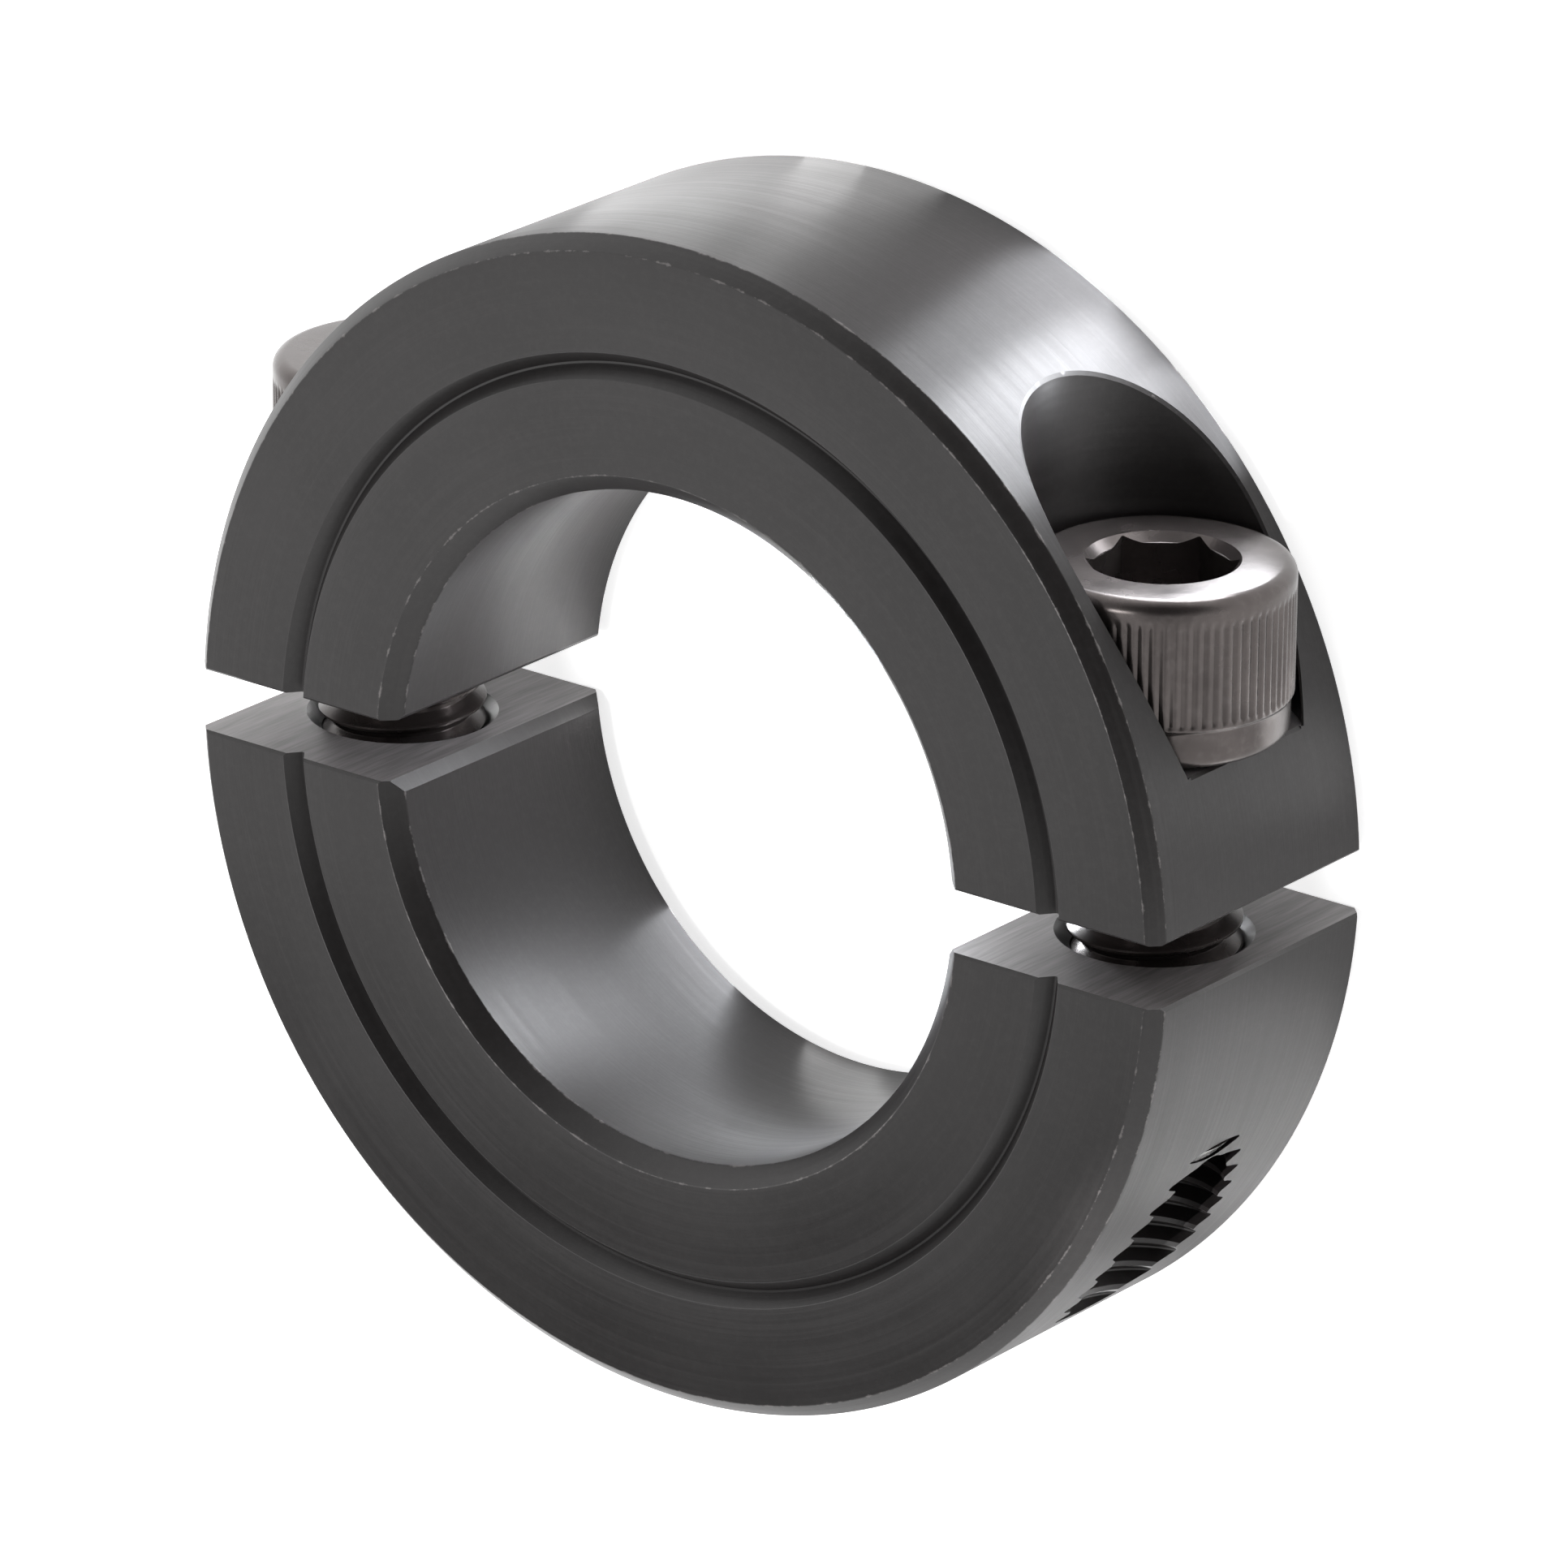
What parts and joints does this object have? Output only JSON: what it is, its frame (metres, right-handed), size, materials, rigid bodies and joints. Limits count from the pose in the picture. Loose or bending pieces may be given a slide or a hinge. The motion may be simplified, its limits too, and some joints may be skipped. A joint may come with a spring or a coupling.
{
  "type": "two-piece clamping shaft collar",
  "caption": "Split shaft collar: a counterbored half drawn to a tapped half by socket head cap screws, with a grooved face and a plain bore.",
  "frame": {"origin": "centre of the bore on the plain face, which the collar lies on", "axes": "+Z along the bore axis, out of the grooved face; +Y along the screws towards their heads; +X along the saw cut"},
  "size_m": [0.0444, 0.0444, 0.0127],
  "materials": {
    "threaded_half_steel": "turned and black-oxided, satin",
    "clamping_half_steel": "turned and black-oxided, satin",
    "screw_steel": "alloy steel, black-oxided, slightly brighter on the head's rim"
  },
  "bodies": {
    "threaded_half_body": {"threaded_half": "threaded_half_steel"},
    "clamping_half_body": {"clamping_half": "clamping_half_steel"},
    "left_screw_body": {"left_cap_screw": "screw_steel"},
    "right_screw_body": {"right_cap_screw": "screw_steel"}
  },
  "joints": [
    {"name": "clamp_travel", "type": "slide", "parent": "threaded_half_body", "child": "clamping_half_body", "axis": [0, 1, 0], "range_m": [-0.0023, 0.0075]},
    {"name": "left_screw_turn", "type": "hinge", "parent": "clamping_half_body", "child": "left_screw_body", "pos_m": [-0.01746, 0, 0.00635], "axis": [0, 1, 0], "range_deg": [-915, 2980]},
    {"name": "right_screw_turn", "type": "hinge", "parent": "clamping_half_body", "child": "right_screw_body", "pos_m": [0.01746, 0, 0.00635], "axis": [0, 1, 0], "range_deg": [-915, 2980]}
  ],
  "couplings": [
    {"joint": "left_screw_turn", "follows": "clamp_travel", "rad_per_m": 6926.3},
    {"joint": "right_screw_turn", "follows": "clamp_travel", "rad_per_m": 6926.3}
  ]
}
